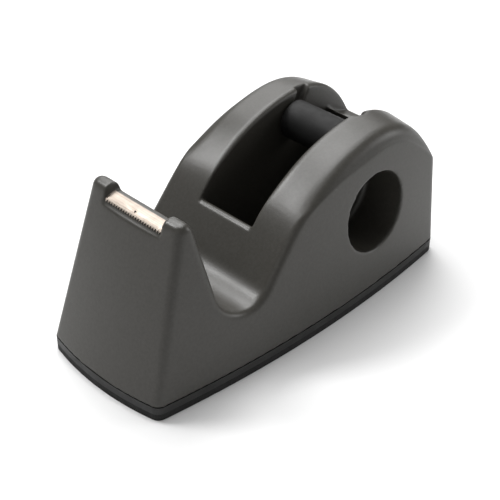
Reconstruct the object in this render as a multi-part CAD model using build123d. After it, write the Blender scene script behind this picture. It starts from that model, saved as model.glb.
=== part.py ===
from build123d import *
import math
import os

# Weighted desktop tape dispenser: moulded shell, iron ballast, base, cutter and lift-out hub.
# Frame: X runs from the cutter (-X) to the tail (+X), Y is across the tape, Z is up.
# The origin is on the resting face, under the middle of the body. All lengths are millimetres.


# --- overall body ---------------------------------------------------------------------------
LENGTH = 158.0           # front bow to rear bow at the base
BASE_THICK = 5.8         # black band: pad and base plate together
PAD_THICK = 2.8
LOFT_TOP = 72.0          # height at which the upper outline is drawn
CREST_Z = 70.3           # top of the cheeks
HEAD_Z = 70.0            # top of the shoulders beside the cutter
WALL = 2.5               # moulded wall
RIM_TILT = 7.0           # outward slope of the cheek rims, degrees
EDGE_R = 3.0             # rounding along the skyline
RIM_EASES = ((0.7, 0.8), (1.3, 0.45))    # bevels along the inner edge of each rim: across, down
RIM_ROUND_R = 6.0        # rounding along the outer edge of each rim
RIM_OUT_Y = 32.0
ROUND_STEPS = 5
RIM_FADE_IN = 3.2        # quarters of the front arc over which the rim shape comes in
RIM_FADE_OUT = 50.0      # degrees of the rear arc over which it goes again
TAIL_END_Z = 12.0        # the skyline leaves the tail above this height
RIM_EDGE_Y = 16.5        # the side edges all lie outside this
HEAD_ROOF_Z = 57.5       # the head is solid above this, to hold the cutter

# --- lower and upper outlines: half widths, bows and corner radii ------------------------------
HALF_X = LENGTH / 2
BASE_CORNER_X = 75.5
BASE_FRONT_Y = 28.6
BASE_MID_Y = 37.2
BASE_REAR_Y = 35.0
BASE_FRONT_R = 4.0
BASE_TAIL_R = 5.0
TOP_FRONT_BOW_X = -57.0
TOP_FRONT_X = -56.5
TOP_FRONT_Y = 22.0
TOP_MID_Y = 30.0
TOP_REAR_X = 75.0
TOP_REAR_BOW_X = 78.0
TOP_REAR_Y = 29.5
TOP_FRONT_R = 3.5
TOP_TAIL_R = 7.0

# --- side profile --------------------------------------------------------------------------------
CREST_X = 40.0
FRONT_ARC_R = 69.5       # long arc from the tape lip to the crest
REAR_ARC_R = 36.5        # shorter arc from the crest to the tail
TROUGH_X = -33.5         # finger valley behind the cutter head
TROUGH_Z = 39.5
TROUGH_R = 12.0
HEAD_LEAN = 10.8         # rear face of the head leans forward, degrees
HEAD_TOP_R = 3.6

# --- tape well ---------------------------------------------------------------------------------------
WELL_HALF_Y = 13.4
WELL_WALL = 2.4
WELL_ARC_X = 28.0
WELL_ARC_Z = 52.0
WELL_ARC_R = 41.8
WELL_REAR_X = 59.0
WELL_REAR_Z = 55.2
SADDLE_MID = (65.4, 50.6)    # dished ledge behind the well, seen from the side
SADDLE_LOW = (70.5, 48.9)
SADDLE_BROW = (73.2, 48.0)
SADDLE_END = (75.0, 45.4)
SADDLE_ROOF_Z = 43.5
WELL_FRONT_X = -11.2
LIP_R = 2.2              # rounded front edge of the well, which the tape is led over

# --- hub, spindle and the slanted grooves it drops into ---------------------------------------------
HUB_X = 37.5
HUB_Z = 58.8
HUB_R = 8.0
HUB_HALF_Y = 12.7
HUB_BORE_R = 1.65
PIN_R = 1.6
GROOVE_TILT = 31.0       # from vertical, opening towards the tail, degrees
GROOVE_HALF = 2.9
GROOVE_DEPTH = 2.6
HUB_WALL = 1.6
HUB_WEB = 1.8
HUB_SLEEVE_R = 3.4
PIN_HALF_Y = 15.6
SHOE_CLEAR = 0.05
SHOE_RISE = 4.6
WASHER_R = 5.5
WASHER_Y = 12.75
WASHER_T = 0.5

# --- round grip recess in each side -------------------------------------------------------------------
RECESS_X = 33.9
RECESS_Z = 38.2
RECESS_R = 16.4
RECESS_FLOOR_Y = WELL_HALF_Y + WELL_WALL
RECESS_FLOOR_R = 2.0

# --- cutter ----------------------------------------------------------------------------------------------
BLADE_X = -54.2
BLADE_Z = 60.9
BLADE_OUT_R = 6.0
BLADE_THICK = 0.5
BLADE_HALF_Y = 14.05
BLADE_TEETH = 23
BLADE_FRONT_ANGLE = 138.6
TOOTH_DEPTH = 1.1
TANG_DEPTH = 5.0
SEAT_HALF_Y = 14.35

# --- screws and their bosses ------------------------------------------------------------------------------
BASE_BOSSES = [(-65.0, 17.0), (0.0, 28.0), (67.5, 25.0)]
BASE_BOSS_R = 3.2
BASE_SCREW_R = 1.45
BASE_HEAD_R = 2.8
BASE_HEAD_H = 1.8
BALLAST_BOSSES = [(-33.5, 16.0), (68.0, 12.0)]
BALLAST_BOSS_R = 3.3
BALLAST_SCREW_R = 1.5
BALLAST_HEAD_R = 2.9
BALLAST_HEAD_H = 2.0
BALLAST_WASHER_R = 4.0
BALLAST_WASHER_T = 0.8
BASE_HEAD_Z = 2.95
BASE_SHANK_Z = 15.0
BALLAST_SHANK_Z = 22.0
BALLAST_Z = 9.6
BALLAST_GAP = 1.1
BOSS_END_Z = 16.0

# --- base pad and the upstand of the base plate --------------------------------------------------------------
PAD_INSET = 0.0
UPSTAND_GAP = 1.1          # the shell wall leans in above the plate
UPSTAND_WALL = 1.6
UPSTAND_H = 3.0


def side_arc(start, end, mid_y):
    """Gently bulging side from a front corner to a rear corner, widest near the middle."""
    sign = 1 if start[1] > 0 else -1
    return ThreePointArc(start, ((start[0] + end[0]) / 2, sign * mid_y), end)


def outline(front_bow, front_x, front_y, mid_y, rear_x, rear_bow, rear_y, radii, inset=0.0):
    """Barrel-shaped plan outline on the XY plane, with every wall moved in by inset."""
    front_r, tail_r = (max(r - inset, 1.0) for r in radii)
    fx, fy = front_x + inset, front_y - inset
    rx, ry = rear_x - inset, rear_y - inset
    front = ThreePointArc((fx, -fy), (front_bow + inset, 0), (fx, fy))
    left = side_arc((fx, fy), (rx, ry), mid_y - inset)
    rear = ThreePointArc((rx, ry), (rear_bow - inset, 0), (rx, -ry))
    right = side_arc((rx, -ry), (fx, -fy), mid_y - inset)
    face = make_face([front, left, rear, right])
    face = fillet(face.vertices().filter_by(lambda v: v.X < 0), front_r)
    return fillet(face.vertices().group_by(Axis.X)[-1], tail_r)


def base_outline(inset=0.0):
    return outline(-HALF_X, -BASE_CORNER_X, BASE_FRONT_Y, BASE_MID_Y,
                   BASE_CORNER_X, HALF_X, BASE_REAR_Y, (BASE_FRONT_R, BASE_TAIL_R), inset)


def top_outline(inset=0.0):
    return outline(TOP_FRONT_BOW_X, TOP_FRONT_X, TOP_FRONT_Y, TOP_MID_Y,
                   TOP_REAR_X, TOP_REAR_BOW_X, TOP_REAR_Y, (TOP_FRONT_R, TOP_TAIL_R), inset)


def body_loft(inset=0.0):
    """Drafted block between the two outlines, before the side profile is applied."""
    lower = Pos(0, 0, BASE_THICK) * base_outline(inset)
    upper = Pos(0, 0, LOFT_TOP) * top_outline(inset)
    return loft([lower, upper], ruled=True)


def on_circle(cx, cz, r, degrees):
    a = math.radians(degrees)
    return (cx + r * math.cos(a), cz + r * math.sin(a))


def skyline_lines(inset):
    """Key points of the skyline: trough, slope tangents, arc centres and head top."""
    trough_r = TROUGH_R + inset
    front_r = FRONT_ARC_R - inset
    front_c = (CREST_X, CREST_Z - FRONT_ARC_R)
    dx, dz = front_c[0] - TROUGH_X, front_c[1] - TROUGH_Z
    turn = math.acos((trough_r + front_r) / math.hypot(dx, dz))
    tangent = math.degrees(math.atan2(dz, dx) - turn)
    slope_low = on_circle(TROUGH_X, TROUGH_Z, trough_r, tangent)
    head_end = on_circle(TROUGH_X, TROUGH_Z, trough_r, 180 + HEAD_LEAN)
    return slope_low, tangent + 180, head_end


def ease(share):
    """Smooth rise from 0 to 1."""
    share = min(max(share, 0.0), 1.0)
    return share * share * (3 - 2 * share)


def rim_points(inset, drop):
    """Cheek skyline from the slope to the tail, with its crown lowered by drop."""
    slope_deg = skyline_lines(inset)[1]
    front_c = (CREST_X, CREST_Z - FRONT_ARC_R)
    rear_c = (CREST_X, CREST_Z - REAR_ARC_R)
    points = []
    for k in range(5):
        r = FRONT_ARC_R - inset - drop * ease(k / RIM_FADE_IN)
        points.append(on_circle(*front_c, r, slope_deg + (90 - slope_deg) * k / 4))
    for deg in (67.5, 45, 22.5):
        r = REAR_ARC_R - inset - drop * ease(deg / RIM_FADE_OUT)
        points.append(on_circle(*rear_c, r, deg))
    return points + [(HALF_X + 1, TAIL_END_Z)]


def side_section(inset=0.0, drop=0.0):
    """Region under the skyline: cutter head, finger valley, arched cheeks and tail."""
    trough_r = TROUGH_R + inset
    slope_low, slope_deg, head_end = skyline_lines(inset)
    lean = math.radians(HEAD_LEAN)
    crest_z = HEAD_Z - inset
    top_r = max(HEAD_TOP_R - inset, 0.5)
    rise = crest_z - top_r - head_end[1] + top_r * math.sin(lean)
    head_top = (head_end[0] - rise * math.tan(lean), head_end[1] + rise)
    top_c = (head_top[0] - top_r * math.cos(lean), head_top[1] - top_r * math.sin(lean))
    rim = rim_points(inset, drop)
    slope = (rim[0][0] - slope_low[0], rim[0][1] - slope_low[1])
    tail_x, tail_z = rim[-1]
    edges = [
        Line((-95, -5), (95, -5)),
        Line((95, -5), (95, tail_z)),
        Line((95, tail_z), (tail_x, tail_z)),
        Spline(*reversed(rim), tangents=[(0, 1), (-slope[0], -slope[1])]),
        Line(rim[0], slope_low),
        ThreePointArc(slope_low, on_circle(TROUGH_X, TROUGH_Z, trough_r, 270), head_end),
        Line(head_end, head_top),
        ThreePointArc(head_top, on_circle(*top_c, top_r, 45), (top_c[0], crest_z)),
        Line((top_c[0], crest_z), (-95, crest_z)),
        Line((-95, crest_z), (-95, -5)),
    ]
    return make_face(edges)


def prism(section, low_y, high_y):
    """Side section carried across Y between two limits."""
    return Pos(0, high_y, 0) * extrude(Plane.XZ * section, high_y - low_y)


def rim_steps():
    """Cross-section of a cheek rim as (distance across, drop): eased, sloping, then rounded."""
    y = WELL_HALF_Y
    steps = [(y, sum(down for _, down in RIM_EASES))]
    for across_by, down in RIM_EASES:
        y += across_by
        steps.append((y, steps[-1][1] - down))
    turn_y = RIM_OUT_Y - RIM_ROUND_R
    slope = (turn_y - y) * math.tan(math.radians(RIM_TILT))
    for k in range(ROUND_STEPS + 1):
        a = math.radians(RIM_TILT + (84 - RIM_TILT) * k / ROUND_STEPS)
        a0 = math.radians(RIM_TILT)
        steps.append((turn_y + RIM_ROUND_R * (math.sin(a) - math.sin(a0)),
                      slope + RIM_ROUND_R * (math.cos(a0) - math.cos(a))))
    steps.append((BASE_MID_Y + 8.0, steps[-1][1] + 1.0))
    return steps


def skyline_block(inset=0.0):
    """Everything under the skyline: level across the well, rounded away outside it."""
    block = prism(side_section(inset), -WELL_HALF_Y, WELL_HALF_Y)
    steps = rim_steps()
    for low, high in zip(steps, steps[1:]):
        faces = [Plane.XZ.offset(y) * side_section(inset, drop) for y, drop in (low, high)]
        near = loft(faces, ruled=True)
        block += near + mirror(near, about=Plane.XZ)
    return block


def rim_edges(body):
    """Edges where the side walls meet the skyline, on both sides."""
    edges = []
    for edge in body.edges():
        box = edge.bounding_box()
        one_side = box.min.Y > RIM_EDGE_Y or box.max.Y < -RIM_EDGE_Y
        if one_side and box.min.Z > BASE_THICK + 1:
            edges.append(edge)
    return edges


def outer_body():
    """Solid outer form, with the skyline rounded."""
    body = (body_loft() & prism(side_section(), -60, 60)).solid()
    body = body.fillet(EDGE_R, rim_edges(body))
    return (body & skyline_block()).solid()


def upright(x, y, r, low_z, high_z):
    """Round post or hole along Z."""
    post = Cylinder(r, high_z - low_z, align=(Align.CENTER, Align.CENTER, Align.MIN))
    return Pos(x, y, low_z) * post


def across(x, z, r, low_y, high_y):
    """Round bar or hole along Y."""
    return Pos(x, (low_y + high_y) / 2, z) * (Rot(90, 0, 0) * Cylinder(r, high_y - low_y))


def both_sides(points):
    """Mirror (x, y) places across the body."""
    return [(x, sign * y) for x, y in points for sign in (1, -1)]


def arc_height(r, x):
    """Height of the well floor arc, of radius r, at a given X."""
    return WELL_ARC_Z - math.sqrt(r ** 2 - (x - WELL_ARC_X) ** 2)


def lip_centre():
    """Centre of the rounded lip, tangent to the front of the well and to the slope."""
    slope_low, slope_deg, _ = skyline_lines(0)
    nx, nz = on_circle(0, 0, 1, slope_deg)
    x = WELL_FRONT_X - LIP_R
    z = slope_low[1] - (LIP_R + (x - slope_low[0]) * nx) / nz
    return (x, z)


def well_section():
    """Open-topped well under the tape roll, and the saddle behind it."""
    front_low = (WELL_FRONT_X, arc_height(WELL_ARC_R, WELL_FRONT_X))
    rear_low = (WELL_REAR_X, arc_height(WELL_ARC_R, WELL_REAR_X))
    slope_deg = skyline_lines(0)[1]
    lip = lip_centre()
    lip_start = (WELL_FRONT_X, lip[1])
    lip_end = on_circle(*lip, LIP_R, slope_deg)
    clear = on_circle(*lip, LIP_R + 3, slope_deg)
    edges = [
        Line(front_low, lip_start),
        ThreePointArc(lip_start, on_circle(*lip, LIP_R, slope_deg / 2), lip_end),
        Line(lip_end, clear),
        Line(clear, (clear[0], 90)),
        Line((clear[0], 90), (90, 90)),
        Line((90, 90), (90, 30)),
        Line((90, 30), SADDLE_END),
        ThreePointArc(SADDLE_END, SADDLE_BROW, SADDLE_LOW),
        ThreePointArc(SADDLE_LOW, SADDLE_MID, (WELL_REAR_X, WELL_REAR_Z)),
        Line((WELL_REAR_X, WELL_REAR_Z), rear_low),
        ThreePointArc(rear_low, on_circle(WELL_ARC_X, WELL_ARC_Z, WELL_ARC_R, 270), front_low),
    ]
    return make_face(edges)


def well_wall_section():
    """The well, its wall and the saddle roof: what the shell cavity must keep clear of."""
    r = WELL_ARC_R + WELL_WALL
    front_x = WELL_FRONT_X - WELL_WALL
    rear_x = WELL_REAR_X + WELL_WALL
    front_low = (front_x, arc_height(r, front_x))
    rear_low = (rear_x, arc_height(r, rear_x))
    edges = [
        Line((front_x, 90), front_low),
        ThreePointArc(front_low, on_circle(WELL_ARC_X, WELL_ARC_Z, r, 270), rear_low),
        Line(rear_low, (rear_x, SADDLE_ROOF_Z)),
        Line((rear_x, SADDLE_ROOF_Z), (90, SADDLE_ROOF_Z)),
        Line((90, SADDLE_ROOF_Z), (90, 90)),
        Line((90, 90), (front_x, 90)),
    ]
    return make_face(edges)


def groove_bar(half, rise, low_y, high_y):
    """Slanted bar with a round foot on the hub axis, for a groove or the shoe in it."""
    stem = Pos(0, 0, rise / 2) * Box(2 * half, high_y - low_y, rise)
    foot = Rot(90, 0, 0) * Cylinder(half, high_y - low_y)
    return Pos(HUB_X, (low_y + high_y) / 2, HUB_Z) * (Rot(0, GROOVE_TILT, 0) * (stem + foot))


def mirrored(shape):
    """A shape and its twin on the other side of the body."""
    return shape + mirror(shape, about=Plane.XZ)


def recess():
    """Blind round grip recess in the +Y side, with a rounded floor corner."""
    cup = across(RECESS_X, RECESS_Z, RECESS_R, RECESS_FLOOR_Y, 45)
    return fillet(cup.edges().filter_by(GeomType.CIRCLE).group_by(Axis.Y)[0], RECESS_FLOOR_R)


def shell_cavity():
    """Hollow under the shell, open at the bottom."""
    skirt = Pos(0, 0, BASE_THICK - 2) * extrude(base_outline(WALL), 2)
    hollow = (body_loft(WALL) & skyline_block(WALL)) + skirt
    wall_y = WELL_HALF_Y + WELL_WALL
    hollow -= prism(well_wall_section(), -wall_y, wall_y)
    hollow -= mirrored(across(RECESS_X, RECESS_Z, RECESS_R + WELL_WALL, wall_y - 1, 45))
    groove_back = WELL_HALF_Y + GROOVE_DEPTH
    hollow -= mirrored(groove_bar(GROOVE_HALF + WELL_WALL, 30, wall_y - 1, groove_back + WELL_WALL))
    hollow -= Pos(-60, 0, HEAD_ROOF_Z + 10) * Box(40, 60, 20)
    for x, y in both_sides(BASE_BOSSES):
        hollow -= upright(x, y, BASE_BOSS_R, BASE_THICK - 3, 60)
    for x, y in both_sides(BALLAST_BOSSES):
        hollow -= upright(x, y, BALLAST_BOSS_R, BOSS_END_Z, 60)
    return hollow


def seat_section():
    """Rounded seat that the cutter is bent over, between the two shoulders."""
    r = BLADE_OUT_R - BLADE_THICK
    front = on_circle(BLADE_X, BLADE_Z, r, 150.6)
    edges = [
        Line((-72, front[1]), front),
        ThreePointArc(front, on_circle(BLADE_X, BLADE_Z, r, 120), (BLADE_X, BLADE_Z + r)),
        Line((BLADE_X, BLADE_Z + r), (-50, 65.6)),
        Line((-50, 65.6), (-44, 64.4)),
        Line((-44, 64.4), (-44, 80)),
        Line((-44, 80), (-72, 80)),
        Line((-72, 80), (-72, front[1])),
    ]
    return make_face(edges)


def body_shell():
    """Moulded body: head, finger valley, cheeks, well, grip recesses and bosses."""
    body = (outer_body() - prism(well_section(), -WELL_HALF_Y, WELL_HALF_Y)).solid()
    groove_back = WELL_HALF_Y + GROOVE_DEPTH
    body -= mirrored(groove_bar(GROOVE_HALF, 30, WELL_HALF_Y - 1, groove_back))
    body -= mirrored(recess())
    body -= prism(seat_section(), -SEAT_HALF_Y, SEAT_HALF_Y)
    body -= Pos(BLADE_X + 0.35, 0, BLADE_Z + 5) * Box(0.7, 2 * SEAT_HALF_Y, 11)
    body -= shell_cavity()
    for x, y in both_sides(BASE_BOSSES):
        body -= upright(x, y, BASE_SCREW_R, BASE_THICK - 1, BASE_SHANK_Z + 1)
    for x, y in both_sides(BALLAST_BOSSES):
        body -= upright(x, y, BALLAST_SCREW_R, BOSS_END_Z - 1, BALLAST_SHANK_Z + 0.5)
    return body


def cutter_blade():
    """Bent steel strip: toothed front edge, rolled top and a tang pressed into the head."""
    inner_r = BLADE_OUT_R - BLADE_THICK
    centre = (BLADE_X, BLADE_Z)
    tip_out = on_circle(*centre, BLADE_OUT_R, BLADE_FRONT_ANGLE)
    tip_in = on_circle(*centre, inner_r, BLADE_FRONT_ANGLE)
    mid = (90 + BLADE_FRONT_ANGLE) / 2
    rear_x = BLADE_X + BLADE_THICK
    top_z = BLADE_Z + BLADE_OUT_R
    tang_z = BLADE_Z + inner_r - TANG_DEPTH
    edges = [
        ThreePointArc(tip_out, on_circle(*centre, BLADE_OUT_R, mid), (BLADE_X, top_z)),
        Line((BLADE_X, top_z), (rear_x, top_z)),
        Line((rear_x, top_z), (rear_x, tang_z)),
        Line((rear_x, tang_z), (BLADE_X, tang_z)),
        Line((BLADE_X, tang_z), (BLADE_X, BLADE_Z + inner_r)),
        ThreePointArc((BLADE_X, BLADE_Z + inner_r), on_circle(*centre, inner_r, mid), tip_in),
        Line(tip_in, tip_out),
    ]
    blade = prism(make_face(edges), -BLADE_HALF_Y, BLADE_HALF_Y)
    blade -= tooth_gaps()
    hole_x, hole_z = on_circle(*centre, BLADE_OUT_R, BLADE_FRONT_ANGLE - 22)
    drill = Pos(hole_x, 0, hole_z) * (Rot(0, 112 - BLADE_FRONT_ANGLE, 0) * Cylinder(0.45, 2))
    return blade - drill


def tooth_gaps():
    """Zigzag prism that leaves the pointed teeth along the front edge of the cutter."""
    pitch = 2 * BLADE_HALF_Y / BLADE_TEETH
    points = [(-BLADE_HALF_Y - 1, 2), (-BLADE_HALF_Y - 1, -TOOTH_DEPTH)]
    for k in range(BLADE_TEETH):
        y = -BLADE_HALF_Y + pitch * k
        points += [(y, -TOOTH_DEPTH), (y + pitch / 2, 0)]
    points += [(BLADE_HALF_Y, -TOOTH_DEPTH), (BLADE_HALF_Y + 1, -TOOTH_DEPTH), (BLADE_HALF_Y + 1, 2)]
    a = math.radians(BLADE_FRONT_ANGLE)
    origin = on_circle(BLADE_X, BLADE_Z, BLADE_OUT_R, BLADE_FRONT_ANGLE)
    plane = Plane(origin=(origin[0], 0, origin[1]), x_dir=(0, 1, 0),
                  z_dir=(math.cos(a), 0, math.sin(a)))
    face = make_face(Polyline(*points, close=True))
    return plane * extrude(face, 1.5, both=True)


def base_pad():
    """Soft foam pad that the dispenser stands on."""
    return extrude(base_outline(PAD_INSET), PAD_THICK)


def base_plate():
    """Moulded closing plate with a locating upstand inside the shell."""
    plate = Pos(0, 0, PAD_THICK) * extrude(base_outline(), BASE_THICK - PAD_THICK)
    outer = base_outline(WALL + UPSTAND_GAP)
    inner = base_outline(WALL + UPSTAND_GAP + UPSTAND_WALL)
    plate += Pos(0, 0, BASE_THICK) * extrude(outer - inner, UPSTAND_H)
    for x, y in both_sides(BASE_BOSSES):
        plate -= upright(x, y, BASE_HEAD_R + 0.3, PAD_THICK, PAD_THICK + 2)
        plate -= upright(x, y, BASE_SCREW_R + 0.15, PAD_THICK, BASE_THICK + 1)
    return plate


def screw(x, y, head_r, head_h, shank_r, head_z, end_z):
    """Pan-head screw, head down, with a cross recess in the head."""
    head = upright(x, y, head_r, head_z, head_z + head_h)
    head = fillet(head.edges().group_by(Axis.Z)[0], head_h * 0.4)
    shank = upright(x, y, shank_r, head_z + head_h, end_z)
    shank = chamfer(shank.edges().group_by(Axis.Z)[-1], shank_r * 0.5)
    slot = Pos(x, y, head_z + 0.4) * (Box(0.7, head_r * 1.2, 0.8) + Box(head_r * 1.2, 0.7, 0.8))
    return head + shank - slot


def base_screws():
    screws = [screw(x, y, BASE_HEAD_R, BASE_HEAD_H, BASE_SCREW_R, BASE_HEAD_Z, BASE_SHANK_Z)
              for x, y in both_sides(BASE_BOSSES)]
    return Compound(screws)


def ballast_screws():
    head_z = BALLAST_Z - BALLAST_WASHER_T - BALLAST_HEAD_H
    screws = [screw(x, y, BALLAST_HEAD_R, BALLAST_HEAD_H, BALLAST_SCREW_R, head_z, BALLAST_SHANK_Z)
              for x, y in both_sides(BALLAST_BOSSES)]
    return Compound(screws)


def ballast_washers():
    low = BALLAST_Z - BALLAST_WASHER_T
    rings = [upright(x, y, BALLAST_WASHER_R, low, BALLAST_Z)
             - upright(x, y, BALLAST_SCREW_R + 0.1, low - 1, BALLAST_Z + 1)
             for x, y in both_sides(BALLAST_BOSSES)]
    return Compound(rings)


def screw_ways(x, y, boss_clear):
    """Hole through a casting: clearance for the screw below, for the boss above."""
    through = upright(x, y, BALLAST_SCREW_R + 0.3, 0, BOSS_END_Z)
    return through + upright(x, y, BALLAST_BOSS_R + boss_clear, BOSS_END_Z, 60)


def ballast_front():
    """Iron casting that fills the nose and rises inside the head."""
    points = [(-71, BALLAST_Z), (-16, BALLAST_Z), (-16, 20), (-22, 23.5), (-44, 23.5),
              (-49.5, 34), (-52, 46), (-61, 46)]
    block = prism(make_face(Polyline(*points, close=True)), -40, 40)
    block = block & body_loft(WALL + BALLAST_GAP)
    for x, y in both_sides(BASE_BOSSES[:1]):
        block -= upright(x, y, BASE_BOSS_R + 0.8, 0, 60)
    for x, y in both_sides(BALLAST_BOSSES[:1]):
        block -= screw_ways(x, y, 0.5)
    return block


def ballast_rear():
    """Iron casting in the tail, with an arm along each side of the well."""
    block = Pos(68.9, 0, 24.8) * Box(10.2, 41, 30.4)
    arm = Pos(27.0, 20.35, 12.4) * Box(74.0, 6.3, 5.6)
    casting = (block + mirrored(arm)) & body_loft(WALL + BALLAST_GAP)
    for x, y in both_sides(BALLAST_BOSSES[1:]):
        casting -= screw_ways(x, y, 0.3)
    for x, y in both_sides(BASE_BOSSES[2:]):
        casting -= upright(x, y, BASE_BOSS_R + 0.5, 0, 60)
    return casting


def ballast_cushions():
    """Foam pads on the front casting and between the rear casting and the well."""
    pads = []
    for sign in (1, -1):
        pads.append(Pos(TROUGH_X, sign * 5.5, 24.2) * Box(6, 7, 1.4))
        pads.append(Pos(62.6, sign * 8.0, 31) * Box(2.2, 8, 8))
    return Compound(pads)


def hub_half(sign):
    """Moulded half of the hub: outer drum, end web and a sleeve on the pin."""
    half = across(0, 0, HUB_R, 0, HUB_HALF_Y)
    half = chamfer(half.edges().filter_by(GeomType.CIRCLE).group_by(Axis.Y)[-1], 0.5)
    depth = HUB_HALF_Y - HUB_WEB
    half -= across(0, 0, HUB_R - HUB_WALL, -1, depth) - across(0, 0, HUB_SLEEVE_R, -1, depth)
    if sign < 0:
        ring = across(0, 0, HUB_R - HUB_WALL, -3, 3) - across(0, 0, HUB_R - HUB_WALL - 1.2, -3, 3)
        half += ring
        half = mirror(half, about=Plane.XZ)
    else:
        half -= across(0, 0, HUB_R - HUB_WALL + SHOE_CLEAR, -1, 3.1) - across(0, 0, HUB_SLEEVE_R, -1, 3.1)
    half -= across(0, 0, HUB_BORE_R, -20, 20)
    return Pos(HUB_X, 0, HUB_Z) * half


def spindle_pin():
    pin = across(HUB_X, HUB_Z, PIN_R, -PIN_HALF_Y, PIN_HALF_Y)
    return chamfer(pin.edges().filter_by(GeomType.CIRCLE), 0.3)


def spindle_shoe(sign):
    """Rounded block on the pin end that slides down the groove in the cheek."""
    low, high = WELL_HALF_Y + SHOE_CLEAR, WELL_HALF_Y + GROOVE_DEPTH - 0.15
    shoe = groove_bar(GROOVE_HALF - SHOE_CLEAR, SHOE_RISE, low, high)
    shoe = chamfer(shoe.edges().group_by(Axis.Y)[-1], 0.4)
    shoe -= across(HUB_X, HUB_Z, PIN_R, low - 1, high + 1)
    return shoe if sign > 0 else mirror(shoe, about=Plane.XZ)


def thrust_washer(sign):
    ring = across(HUB_X, HUB_Z, WASHER_R, WASHER_Y, WASHER_Y + WASHER_T)
    ring -= across(HUB_X, HUB_Z, PIN_R + 0.02, 10, 20)
    return ring if sign > 0 else mirror(ring, about=Plane.XZ)


NODES = {
    "body_shell": body_shell,
    "base_plate": base_plate,
    "base_pad": base_pad,
    "base_screws": base_screws,
    "cutter_blade": cutter_blade,
    "ballast_front": ballast_front,
    "ballast_rear": ballast_rear,
    "ballast_screws": ballast_screws,
    "ballast_washers": ballast_washers,
    "ballast_cushions": ballast_cushions,
    "hub_left": lambda: hub_half(-1),
    "hub_right": lambda: hub_half(1),
    "spindle_pin": spindle_pin,
    "spindle_shoe_left": lambda: spindle_shoe(-1),
    "spindle_shoe_right": lambda: spindle_shoe(1),
    "thrust_washer_left": lambda: thrust_washer(-1),
    "thrust_washer_right": lambda: thrust_washer(1),
}

if __name__ == "__main__":
    os.makedirs("parts", exist_ok=True)
    for name, make in NODES.items():
        shape = make()
        shape.label = name
        export_step(shape, f"parts/{name}.step")
        box = shape.bounding_box()
        print(name, len(shape.solids()), shape.is_valid, round(shape.volume / 1000, 2), box)
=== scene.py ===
import math

import bpy
from mathutils import Matrix, Vector


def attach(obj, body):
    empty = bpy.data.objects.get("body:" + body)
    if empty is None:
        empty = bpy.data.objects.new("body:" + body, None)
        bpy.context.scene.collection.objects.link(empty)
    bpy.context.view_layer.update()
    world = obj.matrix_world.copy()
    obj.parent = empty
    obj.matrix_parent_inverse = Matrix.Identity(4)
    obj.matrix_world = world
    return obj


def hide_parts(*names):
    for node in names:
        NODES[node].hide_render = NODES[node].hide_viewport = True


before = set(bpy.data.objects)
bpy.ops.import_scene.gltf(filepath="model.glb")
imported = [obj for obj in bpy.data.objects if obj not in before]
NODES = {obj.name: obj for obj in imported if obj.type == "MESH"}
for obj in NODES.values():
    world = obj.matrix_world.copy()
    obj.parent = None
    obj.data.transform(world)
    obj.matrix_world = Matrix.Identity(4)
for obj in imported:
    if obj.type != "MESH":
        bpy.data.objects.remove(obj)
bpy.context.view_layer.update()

MM = 0.001

# --- camera: the photograph's viewing angle ------------------------------------------------------
VIEW_AZIMUTH = -46.79
VIEW_ELEVATION = 36.66
VIEW_ROLL = 0.96
VIEW_TARGET = Vector((0.0, 0.0, 0.0201))
VIEW_DISTANCE = 0.4394
LENS_MM = 80.8
SENSOR_MM = 36.0

# --- studio: azimuth, elevation, distance, diameter and power of each round soft light -----------
LIGHTS = {
    "overhead": (150, 68, 0.9, 0.7, 7.0),
    "back_right": (136, 38, 1.0, 0.8, 4.0),
    "back_left": (-155, 52, 1.0, 0.3, 4.5),
    "front_fill": (-80, 25, 1.0, 0.6, 0.6),
    "side_fill": (55, 20, 1.1, 0.5, 2.8),
}
SKY_STRENGTH = 0.28
FLOOR_HALF = 3.0

# --- visual shell: how its edges are softened ----------------------------------------------------
SHELL_VOXEL = 0.5 * MM
SHELL_SMOOTHING = 9      # passes of light smoothing
SHELL_KEEP = 0.22        # share of the faces kept after thinning


def look_from(azimuth, elevation):
    """Unit vector from the target towards a viewer at that azimuth and elevation, in degrees."""
    a, e = math.radians(azimuth), math.radians(elevation)
    return Vector((math.sin(a) * math.cos(e), -math.cos(a) * math.cos(e), math.sin(e)))


def aimed(back, roll=0.0):
    """Rotation that looks along -back, turned by roll degrees about the line of sight."""
    turn = back.to_track_quat("Z", "Y").to_matrix().to_4x4()
    return turn @ Matrix.Rotation(math.radians(roll), 4, "Z")


def add_camera():
    data = bpy.data.cameras.new("camera")
    data.lens = LENS_MM
    data.sensor_width = SENSOR_MM
    data.clip_start = 0.01
    camera = bpy.data.objects.new("camera", data)
    back = look_from(VIEW_AZIMUTH, VIEW_ELEVATION)
    place = Matrix.Translation(VIEW_TARGET + back * VIEW_DISTANCE)
    camera.matrix_world = place @ aimed(back, VIEW_ROLL)
    bpy.context.scene.collection.objects.link(camera)
    bpy.context.scene.camera = camera


def area_light(name, azimuth, elevation, distance, size, power):
    """Round soft light that faces the camera's target."""
    data = bpy.data.lights.new(name, "AREA")
    data.shape = "DISK"
    data.size = size
    data.energy = power
    light = bpy.data.objects.new(name, data)
    back = look_from(azimuth, elevation)
    light.matrix_world = Matrix.Translation(VIEW_TARGET + back * distance) @ aimed(back)
    bpy.context.scene.collection.objects.link(light)


def add_lights():
    for name, settings in LIGHTS.items():
        area_light(name, *settings)
    world = bpy.data.worlds.new("studio")
    world.use_nodes = True
    back = world.node_tree.nodes["Background"]
    back.inputs["Color"].default_value = (1.0, 1.0, 1.0, 1.0)
    back.inputs["Strength"].default_value = SKY_STRENGTH
    bpy.context.scene.world = world


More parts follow.
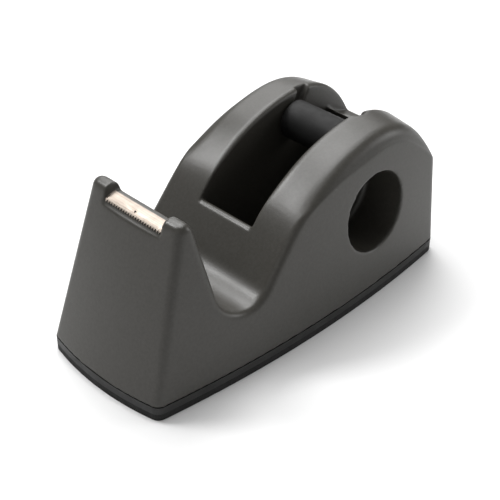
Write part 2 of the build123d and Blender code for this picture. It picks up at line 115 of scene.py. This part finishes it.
# --- materials -----------------------------------------------------------------------------------
class Finish:
    """A material's node tree, with short calls for the nodes that the finishes share."""

    def __init__(self, name):
        self.material = bpy.data.materials.new(name)
        self.material.use_nodes = True
        self.tree = self.material.node_tree
        self.shader = self.tree.nodes["Principled BSDF"]
        self.where = self.node("ShaderNodeTexCoord").outputs["Object"]

    def node(self, kind, **settings):
        made = self.tree.nodes.new(kind)
        for key, value in settings.items():
            setattr(made, key, value)
        return made

    def link(self, source, target):
        self.tree.links.new(source, target)

    def stretched(self, scale):
        """Object coordinates stretched by a scale on each axis."""
        mapping = self.node("ShaderNodeMapping")
        mapping.inputs["Scale"].default_value = scale
        self.link(self.where, mapping.inputs["Vector"])
        return mapping.outputs["Vector"]

    def noise(self, scale, detail=3.0, rough=0.5, where=None):
        made = self.node("ShaderNodeTexNoise")
        made.inputs["Scale"].default_value = scale
        made.inputs["Detail"].default_value = detail
        made.inputs["Roughness"].default_value = rough
        self.link(where or self.where, made.inputs["Vector"])
        return made.outputs["Fac"]

    def cells(self, scale):
        made = self.node("ShaderNodeTexVoronoi")
        made.inputs["Scale"].default_value = scale
        self.link(self.where, made.inputs["Vector"])
        return made.outputs["Distance"]

    def spread(self, source, low, high, from_low=0.3, from_high=0.7):
        """A source between from_low and from_high, carried over to low and high."""
        made = self.node("ShaderNodeMapRange")
        made.inputs["From Min"].default_value = from_low
        made.inputs["From Max"].default_value = from_high
        made.inputs["To Min"].default_value = low
        made.inputs["To Max"].default_value = high
        self.link(source, made.inputs["Value"])
        return made.outputs["Result"]

    def mixed(self, factor, low, high):
        """Colour between low and high, each a linear colour or another node's output."""
        made = self.node("ShaderNodeMix", data_type="RGBA")
        colours = {s.name: s for s in made.inputs if s.type == "RGBA"}
        for socket, value in (("A", low), ("B", high)):
            if isinstance(value, tuple):
                colours[socket].default_value = (*value, 1.0)
            else:
                self.link(value, colours[socket])
        self.link(factor, made.inputs["Factor"])
        return next(s for s in made.outputs if s.type == "RGBA")

    def times(self, a, b):
        made = self.node("ShaderNodeMath", operation="MULTIPLY")
        self.link(a, made.inputs[0])
        self.link(b, made.inputs[1])
        return made.outputs["Value"]

    def bump(self, height, distance, strength):
        made = self.node("ShaderNodeBump")
        made.inputs["Distance"].default_value = distance
        made.inputs["Strength"].default_value = strength
        self.link(height, made.inputs["Height"])
        self.link(made.outputs["Normal"], self.shader.inputs["Normal"])

    def set(self, **values):
        for key, value in values.items():
            self.shader.inputs[key.replace("_", " ")].default_value = value

    def colour(self, source):
        self.link(source, self.shader.inputs["Base Color"])

    def roughness(self, source):
        self.link(source, self.shader.inputs["Roughness"])


def grey(value, warm=0.0):
    """Linear colour from a 0-255 grey, warmed or cooled a little."""
    base = (value / 255.0) ** 2.2
    return (base * (1 + warm), base * (1 + 0.4 * warm), base * (1 - warm))


def moulded_body():
    """Warm dark grey plastic: spark-eroded grain, polished by hands on top, lighter at the edges as
    partly rubbing wear and partly a painted edge highlight.
    """
    f = Finish("body_grey")
    surface = f.node("ShaderNodeNewGeometry")
    tone = f.mixed(f.spread(f.noise(900, 4), 0, 1), grey(50, 0.13), grey(57, 0.11))
    # convex edges painted lighter: partly rubbing wear, partly a painted highlight along the edges
    edge_wear_and_highlight_mask = f.spread(surface.outputs["Pointiness"], 0, 1, 0.53, 0.62)
    rubbed_wear_and_painted_edge_highlight = f.times(edge_wear_and_highlight_mask, f.spread(f.noise(140, 4), 0.0, 0.5))
    f.colour(f.mixed(rubbed_wear_and_painted_edge_highlight, tone, grey(84, 0.08)))
    parts = f.node("ShaderNodeSeparateXYZ")
    f.link(surface.outputs["Normal"], parts.inputs["Vector"])
    upward = f.spread(parts.outputs["Z"], 0, 1, 0.35, 0.85)
    polish = f.times(upward, f.spread(f.noise(60, 4), 0.35, 1.0))
    f.roughness(f.spread(polish, 0.45, 0.31, 0, 1))
    f.bump(f.noise(2400, 2, 0.6), 0.00005, 0.6)
    return f.material


def black_plate():
    """Near-black moulded plate with a fine grain."""
    f = Finish("base_black")
    f.colour(f.mixed(f.spread(f.noise(60, 4), 0, 1), grey(20, 0.05), grey(27, 0.05)))
    f.roughness(f.spread(f.noise(150, 3), 0.5, 0.65))
    f.bump(f.noise(3000, 2), 0.00003, 0.6)
    return f.material


def foam():
    """Black foam of the pad under the base, with fine pores."""
    f = Finish("pad_foam")
    pores = f.cells(1400)
    f.colour(f.mixed(f.spread(pores, 0, 1, 0.1, 0.6), grey(14, 0.03), grey(26, 0.03)))
    f.roughness(f.spread(f.noise(300, 3), 0.8, 0.95))
    f.bump(pores, 0.00015, 0.8)
    return f.material


def rolled_steel():
    """Warm steel strip with fine rolling lines along its length."""
    f = Finish("blade_steel")
    lines = f.noise(900, 3, 0.6, f.stretched((4.0, 0.05, 4.0)))
    f.colour(f.mixed(f.spread(lines, 0, 1), (0.23, 0.197, 0.168), (0.37, 0.322, 0.28)))
    f.roughness(f.spread(f.noise(400, 3), 0.42, 0.54))
    f.bump(lines, 0.00002, 0.5)
    f.set(Metallic=1.0)
    return f.material


def plated_steel(name, tone):
    """Smooth plated steel of a 0-255 grey tone."""
    f = Finish(name)
    f.colour(f.mixed(f.spread(f.noise(250, 4), 0, 1), grey(tone - 18), grey(tone)))
    f.roughness(f.spread(f.noise(500, 3), 0.28, 0.45))
    f.bump(f.noise(1800, 2), 0.00002, 0.5)
    f.set(Metallic=1.0)
    return f.material


def plain_moulding(name, tone, rough):
    """Small plain moulding of a 0-255 grey tone, with a dull fine-grained surface."""
    f = Finish(name)
    mottle = f.spread(f.noise(120, 4), 0, 1)
    f.colour(f.mixed(mottle, grey(tone - 5, 0.02), grey(tone + 4, 0.02)))
    f.set(Specular_IOR_Level=0.25)
    f.roughness(f.spread(f.noise(220, 3), rough - 0.06, rough + 0.06))
    f.bump(f.noise(2600, 2), 0.00003, 0.5)
    return f.material


def casting():
    """Rough sand-cast iron."""
    f = Finish("ballast_iron")
    f.colour(f.mixed(f.spread(f.noise(180, 6), 0, 1), grey(70, 0.05), grey(104, 0.02)))
    f.roughness(f.spread(f.noise(300, 4), 0.55, 0.8))
    f.bump(f.noise(700, 5), 0.0003, 0.9)
    f.set(Metallic=0.8)
    return f.material


def repaint(piece, material):
    piece.data.materials.clear()
    piece.data.materials.append(material)


def dress(material, *names):
    """Repaints CAD nodes that are shown as packed."""
    for name in names:
        repaint(NODES[name], material)


def softened(name, body, voxel, passes, keep):
    """Visual piece for a CAD node: its shape with every edge rounded a little, as a mould does."""
    node = NODES[name]
    piece = bpy.data.objects.new(name + "_moulding", node.data.copy())
    piece.matrix_world = node.matrix_world
    bpy.context.scene.collection.objects.link(piece)
    remesh = piece.modifiers.new("even_mesh", "REMESH")
    remesh.mode = "VOXEL"
    remesh.voxel_size = voxel
    remesh.use_smooth_shade = True
    smooth = piece.modifiers.new("rounded_edges", "SMOOTH")
    smooth.factor = 0.5
    smooth.iterations = passes
    thin = piece.modifiers.new("thinned", "DECIMATE")
    thin.ratio = keep
    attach(piece, body)
    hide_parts(name)
    return piece


def add_floor():
    """Plain pale floor, as wide as any view needs."""
    mesh = bpy.data.meshes.new("floor")
    around = ((-1, -1), (1, -1), (1, 1), (-1, 1))
    corners = [(FLOOR_HALF * x, FLOOR_HALF * y, 0) for x, y in around]
    mesh.from_pydata(corners, [], [(0, 1, 2, 3)])
    floor = bpy.data.objects.new("floor", mesh)
    bpy.context.scene.collection.objects.link(floor)
    f = Finish("floor_pale")
    f.colour(f.mixed(f.spread(f.noise(3, 2), 0, 1), (0.86, 0.86, 0.86), (0.88, 0.88, 0.88)))
    f.set(Roughness=0.9)
    mesh.materials.append(f.material)


add_camera()
add_lights()
add_floor()
shell = softened("body_shell", "dispenser", SHELL_VOXEL, SHELL_SMOOTHING, SHELL_KEEP)
repaint(shell, moulded_body())
dress(black_plate(), "base_plate")
dress(foam(), "base_pad")
dress(rolled_steel(), "cutter_blade")
dress(plated_steel("screw_steel", 190), "base_screws", "ballast_screws", "ballast_washers")
dress(plated_steel("pin_steel", 200), "spindle_pin")
dress(casting(), "ballast_front", "ballast_rear")
dress(plain_moulding("cushion_foam", 60, 0.85), "ballast_cushions")
dress(plain_moulding("hub_dark", 22, 0.62), "hub_left", "hub_right")
dress(plain_moulding("shoe_dark", 48, 0.5), "spindle_shoe_left", "spindle_shoe_right")
dress(plain_moulding("washer_nylon", 150, 0.5), "thrust_washer_left", "thrust_washer_right")

bpy.context.scene.view_settings.view_transform = "Standard"
